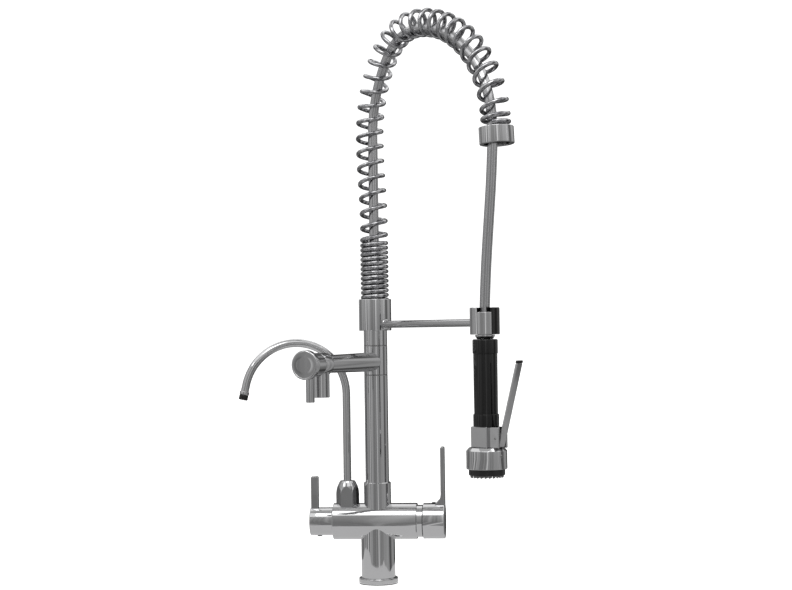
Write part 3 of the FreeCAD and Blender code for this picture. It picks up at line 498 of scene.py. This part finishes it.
class Path:
    """Straight runs and tangent arcs in an XZ plane, in millimetres, read back by distance."""

    def __init__(self, x, z):
        self.pieces = []
        self.point = Vector((x, z))
        self.heading = math.pi / 2
        self.length = 0.0

    def run(self, length):
        self.pieces.append((self.length, length, self.point.copy(), self.heading, 0.0))
        self.point += Vector((math.cos(self.heading), math.sin(self.heading))) * length
        self.length += length
        return self

    def arc(self, radius, degrees):
        bend = math.radians(degrees)
        length = radius * abs(bend)
        self.pieces.append((self.length, length, self.point.copy(), self.heading, bend / length))
        self.point, self.heading = self.on_piece(self.pieces[-1], length)
        self.length += length
        return self

    @staticmethod
    def on_piece(stretch, distance):
        _, _, point, heading, curvature = stretch
        if curvature == 0:
            return point + Vector((math.cos(heading), math.sin(heading))) * distance, heading
        ahead = heading + curvature * distance
        x = (math.sin(ahead) - math.sin(heading)) / curvature
        z = (math.cos(heading) - math.cos(ahead)) / curvature
        return point + Vector((x, z)), ahead

    def at(self, distance):
        """The point and the heading at a distance along the path."""
        stretch = self.pieces[0]
        for candidate in self.pieces:
            if candidate[0] <= distance:
                stretch = candidate
        return self.on_piece(stretch, distance - stretch[0])

    def points(self, place, count=260):
        """Evenly spaced points along the whole path, in metres."""
        spots = [self.at(self.length * index / count)[0] for index in range(count + 1)]
        return [place @ (Vector((spot.x, 0, spot.y)) * MM) for spot in spots]

    def end_frame(self):
        """The plane's frame at the end of the path, with its Z along the path."""
        point, heading = self.at(self.length)
        return shift(point.x, 0, point.y) @ Matrix.Rotation(math.pi / 2 - heading, 4, "Y")


# ---------------------------------------------------------------- spring and hoses

# The centreline, in millimetres and degrees: a slight bow, then arcs of these radii and angles.
SPRING_FOOT = 362.0
ARCH_FOOT = 594.0
ARCH_BOW = 7.0
BOW_RADIUS = 560.0
ARCHES = [(170.0, 38.0), (85.0, 52.0), (170.0, 50.0), (140.0, 40.0)]
END_NUT_TILT = 4.0
END_RUN = 12.0
# The wire. A turn's pitch is its share of the centreline.
WIRE_RADIUS = 2.75
WIRE_SIDES = 14
COIL_RADIUS = 16.1
COIL_START = 234.0
COIL_STEPS = 44
PITCH_EASING = 0.11
CLOSE_FOOT_END = 93.5
CLOSE_TURNS = 14
CLOSE_PITCH = 6.3
FIRST_OPEN_PITCH = 16.2
OPEN_PITCH = 20.23
OPEN_TURNS = 22
FALLING_PITCHES = [21.0, 21.8, 22.8, 22.8, 14.0, 7.8]
END_PITCH = 7.0
# The hose lies to the inside of the spring's arch.
HOSE_RADIUS = 6.35
HOSE_SIDES = 40
HOSE_LEAN = 7.0
RISER_START = 353.0
RISER_END = 562.0
# The free hose's route in the arm's plane, in metres: distance from the column's axis, height.
HOSE_ROUTE = [(0.2520, 0.5618), (0.2493, 0.5240), (0.2444, 0.4820), (0.2390, 0.4380), (0.2346, 0.3960),
              (0.2320, 0.3570)]


def spring_path():
    bow = math.degrees(math.acos(1 - ARCH_BOW / (2 * BOW_RADIUS)))
    bow_height = 2 * BOW_RADIUS * math.sin(math.radians(bow))
    path = Path(0, SPRING_FOOT).run(ARCH_FOOT - bow_height - SPRING_FOOT)
    path.arc(BOW_RADIUS, bow).arc(BOW_RADIUS, -bow)
    for radius, degrees in ARCHES[:-1]:
        path.arc(radius, -degrees)
    radius, degrees = ARCHES[-1]
    return path.arc(radius, END_NUT_TILT - degrees).run(END_RUN)


def coil_marks(length):
    """Distance along the spring at each whole turn: a close-wound foot, an open middle and a closer end."""
    marks = [CLOSE_FOOT_END - CLOSE_PITCH * turns for turns in range(CLOSE_TURNS, -1, -1)]
    marks.append(marks[-1] + FIRST_OPEN_PITCH)
    marks += [marks[-1] + OPEN_PITCH * turns for turns in range(1, OPEN_TURNS + 1)]
    for pitch in FALLING_PITCHES:
        marks.append(marks[-1] + pitch)
    while marks[-1] + END_PITCH < length:
        marks.append(marks[-1] + END_PITCH)
    return marks


def between_marks(marks, turns):
    turns = min(max(turns, 0.0), len(marks) - 1.001)
    index = int(turns)
    return marks[index] + (marks[index + 1] - marks[index]) * (turns - index)


def build_spring():
    """Right-handed wire helix along the spring's centreline, its pitch eased from one stretch to the next."""
    path = spring_path()
    marks = coil_marks(path.length)
    centre_points = []
    for index in range((len(marks) - 1) * COIL_STEPS + 1):
        turns = index / COIL_STEPS
        samples = [between_marks(marks, turns + offset * PITCH_EASING) for offset in range(-3, 4)]
        point, heading = path.at(sum(samples) / len(samples))
        inward = Vector((math.sin(heading), 0, -math.cos(heading)))
        centre = Vector((point.x, 0, point.y))
        angle = FULL_TURN * turns + math.radians(COIL_START)
        across = inward * math.cos(angle) + Vector((0, 1, 0)) * math.sin(angle)
        centre_points.append(ARM @ ((centre + across * COIL_RADIUS) * MM))
    mesh = tube_mesh("wire_spring", centre_points, WIRE_RADIUS * MM, WIRE_SIDES, Vector((0, 0, 1)))
    piece("wire_spring", mesh, "spring_arm", "spring_chrome", "support_spring")


def build_riser():
    """The hose inside the spring, from the column's barb to the end nut."""
    path = Path(HOSE_LEAN - ARCH_BOW, RISER_START).run(ARCH_FOOT - RISER_START)
    for radius, degrees in ARCHES:
        path.arc(radius - HOSE_LEAN, -degrees)
    path.run(path.point.y - RISER_END)
    mesh = tube_mesh("riser_braid", path.points(ARM), HOSE_RADIUS * MM, HOSE_SIDES, Vector((1, 0, 0)))
    piece("riser_braid", mesh, "spring_arm", "braided_steel", "riser_hose")


def build_hose():
    """The free hose, drawn along one smooth spline through its route, bends between the arm and the head."""
    line = bpy.data.curves.new("hose_line", "CURVE")
    line.dimensions = "3D"
    line.resolution_u = 24
    spline = line.splines.new("NURBS")
    spline.points.add(len(HOSE_ROUTE) - 1)
    for control, (reach, height) in zip(spline.points, HOSE_ROUTE):
        control.co = (*(ARM @ Vector((reach, 0, height))), 1.0)
    spline.order_u = 3
    spline.use_endpoint_u = True
    guide = place_in_scene("hose_line", line)
    drawn = bpy.data.meshes.new_from_object(guide)
    points = [vertex.co.copy() for vertex in drawn.vertices]
    bpy.data.objects.remove(guide)
    mesh = tube_mesh("hose_braid", points, HOSE_RADIUS * MM, HOSE_SIDES, Vector((1, 0, 0)))
    hose = piece("hose_braid", mesh, None, "braided_steel", "spray_hose")
    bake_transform(hose)


# ---------------------------------------------------------------- turned and bladed parts

CROSS = shift(0, 0, CROSS_HEIGHT)


GOOSENECK_TUBE_RADIUS = 5.25
SPOUT_PIN_REACH = 170.4
SCREW_SIDES = 48
TRIGGER_PIVOT = (22.5, 203.0)


def build_foot():
    lathe("deck_flange", [(19.95, 1.05), (26.0, 1.05, 0.6), (26.0, 8.0, 1.6), (19.95, 8.0)], Matrix(),
          "mixer", "chrome", "base_flange")
    lathe("deck_seal", [(20.5, 0.0), (25.5, 0.0, 0.3), (25.5, 1.0, 0.3), (20.5, 1.0)], Matrix(),
          "mixer", "rubber", "flange_seal")


def build_mixer_handle():
    lathe("mixer_knob", [
        (21.7, 0.0), (23.5, 0.0, 0.5), (23.5, 29.0, 1.6), (0.0, 29.0), (0.0, 22.0), (21.7, 20.0, 1.0),
    ], CROSS @ shift(61.0) @ TO_X, "mixer_handle", "chrome", "mixer_cap")
    blade = rounded([
        (76.0, 101.5), (90.0, 101.5), (90.0, 180.0, 2.4), (84.6, 180.0, 1.8), (84.6, 113.0, 12.0),
        (77.0, 104.5, 3.0),
    ])
    plate("mixer_blade", blade, 20.0, Matrix(), "mixer_handle", "chrome", ["mixer_lever"], 1.0)
    lathe("index_plug", [(0.0, 0.0), (3.0, 0.0), (3.0, 4.5, 0.9), (0.0, 4.7)],
          CROSS @ shift(75.0, 0, 20.1), "mixer_handle", "black_matt", "mixer_cap_plug", segments=40)


def build_filter_handle():
    lathe("filter_knob", [
        (15.5, 0.0), (18.5, 0.0, 0.5), (18.5, 30.6, 1.4), (0.0, 30.6), (0.0, 23.0), (15.5, 22.0, 1.0),
    ], CROSS @ shift(-59.4) @ FROM_X, "filter_handle", "chrome", "filter_cap")
    blade = rounded([(-89.0, 96.5), (-79.0, 96.5), (-79.0, 142.0, 2.0), (-89.0, 142.0, 2.0)])
    plate("filter_blade", blade, 9.0, Matrix(), "filter_handle", "chrome", ["filter_lever"], 0.9)
    socket_screw("filter_grub", 3.2, 11.6, 1.6, CROSS @ shift(-78.0, 0, -8.3) @ DOWN, "filter_handle",
                 "filter_cap_screw")


def socket_screw(name, radius, length, socket, place, body, node):
    """A grub screw with a round-edged head and a six-sided socket."""
    shape = bmesh.new()
    edge = 0.5
    socket_depth = 1.6
    levels = [
        (radius, 0.0), (radius, length - edge), (radius - edge, length), (socket, length),
        (socket * 0.9, length - socket_depth),
    ]
    rings = []
    for reach, height in levels:
        sides = []
        for index in range(SCREW_SIDES):
            angle = FULL_TURN * index / SCREW_SIDES
            flat = 1.0
            if reach <= socket:
                flat = math.cos(math.pi / 6) / math.cos((angle % (math.pi / 3)) - math.pi / 6)
            x = reach * flat * math.cos(angle)
            y = reach * flat * math.sin(angle)
            sides.append(shape.verts.new((x * MM, y * MM, height * MM)))
        rings.append(sides)
    for first, second in zip(rings, rings[1:]):
        for index in range(SCREW_SIDES):
            beside = (index + 1) % SCREW_SIDES
            shape.faces.new((first[index], first[beside], second[beside], second[index]))
    shape.faces.new(list(reversed(rings[0])))
    shape.faces.new(rings[-1])
    shape.transform(place)
    piece(name, smooth_mesh_of(shape, name, SHARP_ANGLE), body, "steel", node)


def build_gooseneck():
    """The filtered-water tube, from the bell nut over its arch, and the nozzle at its end."""
    path = Path(0, 100.0).run(151.0).arc(69.5, -167).run(9.0)
    mesh = tube_mesh("gooseneck_bend", path.points(GOOSENECK), GOOSENECK_TUBE_RADIUS * MM, SMALL_LATHE_SIDES,
                     Vector((1, 0, 0)))
    piece("gooseneck_bend", mesh, "gooseneck", "chrome", "gooseneck_tube")
    tip = GOOSENECK @ path.end_frame()
    lathe("nozzle_collar", [(4.2, -0.2), (6.3, -0.2, 0.5), (6.3, 4.0, 0.8), (4.2, 4.0)], tip,
          "gooseneck", "chrome", segments=SMALL_LATHE_SIDES)
    lathe("nozzle_tip", [(3.4, 4.05), (5.3, 4.05), (5.9, 5.0, 0.8), (5.9, 11.0, 1.4), (3.4, 11.0, 0.4)], tip,
          "gooseneck", "black_gloss", "filter_nozzle", segments=SMALL_LATHE_SIDES)


def build_spout_end():
    along = SPOUT @ TO_X
    lathe("spout_block", [(8.3, 135.0), (14.6, 135.0, 0.7), (14.6, 153.5, 0.5), (8.3, 153.5)], along,
          "spout", "chrome", "spout_end_block")
    lathe("diverter_cap", [
        (8.0, 153.8), (14.6, 153.8, 0.5), (14.6, 176.0, 0.4), (18.5, 176.0, 1.0), (18.5, 184.2, 1.3),
        (16.6, 185.0, 0.6), (16.2, 184.4, 0.3), (10.0, 184.7, 9.0), (0.0, 184.8), (0.0, 170.0), (8.0, 170.0),
    ], along, "diverter", "chrome", "diverter_knob", segments=FINE_LATHE_SIDES)
    lathe("diverter_stem", [(0.0, 10.0), (5.4, 10.0), (5.4, 47.0, 0.9), (0.0, 47.0)],
          SPOUT @ shift(SPOUT_PIN_REACH) @ DOWN, "diverter", "chrome", "diverter_pin",
          segments=SMALL_LATHE_SIDES)


def build_spring_ends():
    lathe("spring_cup", [
        (15.72, 335.5), (21.6, 335.5, 0.9), (21.6, 377.5, 0.9), (18.9, 377.5, 0.3), (18.9, 361.9),
        (7.4, 361.9), (7.4, 351.2), (15.72, 351.2),
    ], ARM, "spring_arm", "chrome", "spring_collar")
    nut = ARM @ spring_path().end_frame() @ shift(z=-2.0)
    lathe("hose_nut", [
        (18.9, 0.0, 0.3), (21.4, 0.0, 0.9), (21.4, 21.0, 0.9), (16.0, 21.0, 0.8), (16.0, 2.1), (18.9, 2.1),
    ], nut, "spring_arm", "chrome", "end_nut")


def build_head():
    lathe("head_ferrule", [
        (4.0, 323.45), (9.9, 323.45, 0.6), (12.1, 327.0, 0.8), (12.1, 328.7, 0.4), (8.8, 328.7),
        (8.8, 356.5, 0.8), (6.4, 356.5, 0.3), (6.4, 340.0), (4.0, 340.0),
    ], HEAD, "spray_head", "chrome", "hose_ferrule")
    build_ferrule_key()
    lathe("grip", [(7.1, 232.1), (14.6, 232.1, 0.5), (14.8, 268.0), (14.8, 305.5, 0.5), (7.1, 305.5)], HEAD,
          "spray_head", "black_gloss", "grip_sleeve")
    lathe("grip_upper_cap", [(7.1, 305.6), (15.5, 305.6, 0.9), (15.5, 323.3, 1.8), (7.1, 323.3)], HEAD,
          "spray_head", "black_gloss", "grip_top_collar")
    lathe("grip_lower_cap", [(7.1, 217.0), (15.9, 217.0, 0.7), (15.9, 232.0, 0.9), (7.1, 232.0)], HEAD,
          "spray_head", "black_gloss", "grip_bottom_collar")
    lathe("spray_bell", [
        (4.0, 191.2), (21.6, 191.2, 0.5), (25.1, 187.4, 0.9), (25.1, 165.0, 0.8), (22.5, 165.0, 0.3),
        (22.5, 180.0), (4.0, 180.0),
    ], HEAD, "spray_head", "chrome", "spray_ring", segments=FINE_LATHE_SIDES)
    lathe("spray_plate", [
        (0.0, 179.9), (22.3, 179.9), (22.3, 157.6, 1.2), (21.0, 157.6, 0.3), (20.6, 158.2, 0.2),
        (12.6, 158.2, 0.3), (12.2, 157.8, 0.3), (7.8, 157.8, 0.3), (7.4, 158.2, 0.3), (0.0, 158.2),
    ], HEAD, "spray_head", "black_matt", "spray_face", segments=FINE_LATHE_SIDES)
    build_valve_body()
    build_trigger()


def build_trigger():
    """The spray lever: a bar that leans out from its knuckle, with a dark cap on its tip."""
    low, cap, high = 192.6, 294.0, 297.6
    half = 1.7
    tilt = math.radians(17.3)

    def lean(height):
        """The bar's middle, from the head's axis."""
        return 23.5 + math.tan(tilt) * (height - 190.0)

    blade = rounded([
        (lean(low) - half, low), (lean(low) + half, low, 1.0),
        (lean(cap) + half, cap), (lean(cap) - half, cap),
        (lean(209.0) - half, 209.0, 6.0), (22.5, 207.4, 4.0), (18.2, 203.0, 4.0), (22.0, 198.7, 3.0),
    ])
    plate("trigger", blade, 10.0, HEAD, "spray_lever", "chrome", ["spray_lever"], 1.0)
    tip = rounded([
        (lean(cap) - half, cap + 0.1), (lean(cap) + half, cap + 0.1), (lean(high) + half, high, 1.2),
        (lean(high) - half, high, 1.2),
    ])
    plate("trigger_cap", tip, 10.0, HEAD, "spray_lever", "black_matt", [], 0.8)


def build_ferrule_key():
    """The ferrule's key, which fills the mouth of the holder flush with its outside."""
    reach, half, depth = 18.0, 8.9, 6.0
    corner = math.asin(half / reach)
    steps = 12
    front = [corner * (2 * step / steps - 1) for step in range(steps + 1)]
    outline = [(-half, depth)] + [(reach * math.sin(angle), reach * math.cos(angle)) for angle in front]
    outline.append((half, depth))
    place = HOLDER @ shift(z=342.8) @ Matrix.Rotation(math.pi / 2, 4, "X")
    plate("ferrule_key", outline, 27.0, place, "spray_head", "chrome", [], 0.5)


def add_block(shape, low, high):
    """A box between two corners in millimetres."""
    low, high = Vector(low) * MM, Vector(high) * MM
    size = high - low
    place = Matrix.Translation((low + high) / 2) @ Matrix.Diagonal((*size, 1.0))
    bmesh.ops.create_cube(shape, size=1.0, matrix=place)


def build_valve_body():
    """The valve's block with the two cheeks that hold the trigger's pin."""
    shape = bmesh.new()
    underside = 191.3
    cheek_place, cheek_half = 6.9, 1.5
    add_block(shape, (-15.5, -12.0, underside), (11.5, 12.0, 216.9))
    for side in (-1, 1):
        middle = side * cheek_place
        add_block(shape, (9.0, middle - cheek_half, underside), (28.0, middle + cheek_half, 216.8))
    bevelled("valve_block", shape, HEAD, "spray_head", "chrome", ["spray_valve_body"], 1.1)
    reach, height = TRIGGER_PIVOT
    pivot = HEAD @ shift(reach, 0, height) @ Matrix.Rotation(math.pi / 2, 4, "X")
    lathe("trigger_pin", [(0.0, -8.9), (1.5, -8.9, 0.4), (1.5, 8.9, 0.4), (0.0, 8.9)], pivot,
          "spray_head", "steel", "lever_pin", segments=32)


# ---------------------------------------------------------------- room

FLOOR_RADIUS = 14.0
FLOOR_GLOW = 0.3
WORLD_STRENGTH = 1.22
MIXER_MIDDLE = Vector((0.03, -0.06, 0.38))
# The soft boxes: name, direction in degrees, distance, height, width, height of the box, power in watts.
SOFT_BOXES = [
    ("key_box", -135, 2.2, 1.3, 0.5, 1.4, 9),
    ("fill_box", -20, 2.6, 1.0, 0.3, 1.4, 6),
    ("top_box", -90, 1.2, 2.4, 1.2, 1.2, 12),
]
# The studio's greys by direction in degrees: -90 is the front, 0 the mixer lever's side and 90 the back.
STUDIO_GREYS = [
    (-180, 0.46), (-166, 0.66), (-163, 0.36), (-156, 0.38), (-154, 1.10), (-150, 1.00), (-148, 0.42),
    (-139, 0.40), (-136, 0.72), (-122, 0.60), (-119, 0.36), (-100, 0.38), (-97, 0.56), (-90, 0.34),
    (-84, 0.44), (-80, 0.95), (-74, 0.60), (-62, 0.38), (-48, 0.54), (-20, 0.58), (-8, 0.50), (-5, 0.16),
    (12, 0.20), (16, 0.56), (42, 0.52), (50, 0.10), (100, 0.10), (114, 0.36), (140, 0.46), (148, 0.20),
    (160, 0.30), (166, 0.52),
]
# The reach of the pale floor by direction in degrees, in metres.
PALE_FLOOR = [
    (-180, 0.38), (-150, 0.36), (-126, 0.20), (-96, 0.18), (-60, 0.20), (-50, 0.25), (-40, 0.19),
    (-10, 0.13), (30, 0.18), (100, 0.22), (150, 0.24), (180, 0.38),
]
PALE_FLOOR_HOLE = 0.028
PALE_FLOOR_GLOW = 0.72
WALL_RADIUS = 1.9
WALL_TOP = 1.7
CEILING = 2.0
CEILING_RADIUS = 0.7
CEILING_HOLE = 0.01
CEILING_GLOW = 0.62


def build_room():
    """A pale floor just under the mixer's flange."""
    floor = bmesh.new()
    bmesh.ops.create_circle(floor, cap_ends=True, segments=96, radius=FLOOR_RADIUS)
    mesh = mesh_of(floor, "floor")
    disc = place_in_scene("floor", mesh)
    disc.location.z = cad_box[0][2] - 0.0002
    paint = Shader("pale_floor", (0.9, 0.9, 0.9), 0.0, 0.9, Emission_Strength=FLOOR_GLOW)
    paint.set("Emission Color", (1.0, 1.0, 1.0, 1.0))
    stains = paint.noise(paint.coordinates("Object"), scale=3.0)
    paint.mix(stains, (0.89, 0.89, 0.89), (0.92, 0.92, 0.92))
    mesh.materials.append(paint.material)


def strip_light(name, azimuth, distance, height, width, tall, power):
    """A soft box that faces the mixer."""
    data = bpy.data.lights.new(name, "AREA")
    data.shape = "RECTANGLE"
    data.size = width
    data.size_y = tall
    data.energy = power
    light = place_in_scene(name, data)
    angle = math.radians(azimuth)
    light.location = (distance * math.cos(angle), distance * math.sin(angle), height)
    aim = MIXER_MIDDLE - light.location
    light.rotation_euler = aim.to_track_quat("-Z", "Y").to_euler()


def surround_paint():
    """Glowing greys that change with the direction from the mixer, like the walls and screens of a studio."""
    made = Shader("studio_greys", (0.0, 0.0, 0.0), 0.0, 1.0)
    made.set("Specular IOR Level", 0.0)
    split = made.tree.nodes.new("ShaderNodeSeparateXYZ")
    made.link(made.coordinates("Object"), split.inputs["Vector"])
    direction = made.maths("ARCTAN2", split.outputs["Y"], split.outputs["X"])
    share = made.spread(direction, 0.0, 1.0, -math.pi, math.pi)
    ramp = made.tree.nodes.new("ShaderNodeValToRGB")
    elements = ramp.color_ramp.elements
    while len(elements) > 1:
        elements.remove(elements[-1])
    for index, (azimuth, tone) in enumerate(STUDIO_GREYS):
        position = (azimuth + 180.0) / 360.0
        stop = elements.new(position) if index else elements[0]
        stop.position = position
        stop.color = (tone, tone, tone, 1.0)
    made.link(share, ramp.inputs["Fac"])
    made.link(ramp.outputs["Color"], made.shader.inputs["Emission Color"])
    streaks = made.node("ShaderNodeTexNoise", Scale=1.0, Detail=5.0, Roughness=0.7)
    streaks.noise_dimensions = "1D"
    made.link(made.maths("MULTIPLY", direction, 9.0), streaks.inputs["W"])
    height = made.spread(split.outputs["Z"], 0.75, 1.15, 0.0, 1.2)
    strength = made.maths("MULTIPLY", height, made.spread(streaks.outputs["Fac"], 0.55, 1.45))
    made.link(strength, made.shader.inputs["Emission Strength"])
    return made.material


def glow(name, tone):
    made = Shader(name, (0.0, 0.0, 0.0), 0.0, 1.0, Emission_Strength=tone)
    made.set("Specular IOR Level", 0.0)
    made.set("Emission Color", (1.0, 1.0, 1.0, 1.0))
    return made.material


def studio_card(name, rings, material):
    """A skin over rings of points that only reflections see."""
    shape = bmesh.new()
    loops = [[shape.verts.new(point) for point in ring] for ring in rings]
    for first, second in zip(loops, loops[1:]):
        for index in range(len(first)):
            beside = (index + 1) % len(first)
            shape.faces.new((first[index], first[beside], second[beside], second[index]))
    mesh = mesh_of(shape, name)
    card = place_in_scene(name, mesh)
    mesh.materials.append(material)
    for ray in ("visible_camera", "visible_diffuse", "visible_shadow", "visible_transmission"):
        setattr(card, ray, False)


def round_ring(radius, height, count=120):
    """Points of a level ring. The radius is a number or a function of the direction in degrees."""
    points = []
    for index in range(count):
        degrees = 360.0 * index / count - 180.0
        reach = radius(degrees) if callable(radius) else radius
        angle = math.radians(degrees)
        points.append((reach * math.cos(angle), reach * math.sin(angle), height))
    return points


def floor_edge(degrees):
    """How far the bright floor near the mixer reaches before it turns grey."""
    before, after = PALE_FLOOR[-1], PALE_FLOOR[0]
    for first, second in zip(PALE_FLOOR, PALE_FLOOR[1:]):
        if first[0] <= degrees <= second[0]:
            before, after = first, second
    span = after[0] - before[0] or 1.0
    share = min(max((degrees - before[0]) / span, 0.0), 1.0)
    eased = share * share * (3 - 2 * share)
    return before[1] + (after[1] - before[1]) * eased


def build_surround():
    """A ring wall with a grey floor in front of it, the pale floor near the mixer, and a ceiling."""
    level = cad_box[0][2] + 0.001
    floor_rim = round_ring(floor_edge, level)
    studio_card("grey_walls", [floor_rim, round_ring(WALL_RADIUS, level), round_ring(WALL_RADIUS, WALL_TOP)],
                surround_paint())
    studio_card("pale_floor_card", [round_ring(PALE_FLOOR_HOLE, level), floor_rim],
                glow("pale_floor_glow", PALE_FLOOR_GLOW))
    studio_card("ceiling_card", [round_ring(CEILING_HOLE, CEILING), round_ring(CEILING_RADIUS, CEILING)],
                glow("ceiling_glow", CEILING_GLOW))


def light_room():
    world = bpy.data.worlds.new("studio")
    bpy.context.scene.world = world
    world.use_nodes = True
    background = world.node_tree.nodes["Background"]
    background.inputs["Color"].default_value = (1.0, 1.0, 1.0, 1.0)
    background.inputs["Strength"].default_value = WORLD_STRENGTH
    for soft_box in SOFT_BOXES:
        strip_light(*soft_box)
    bpy.context.scene.view_settings.view_transform = "Standard"


place_camera()
materials = make_materials()
dress_cad_nodes(materials)
build_hose()
build_spring()
build_riser()
build_foot()
build_mixer_handle()
build_filter_handle()
build_gooseneck()
build_spout_end()
build_spring_ends()
build_head()
build_room()
build_surround()
light_room()
dress_cast_parts()
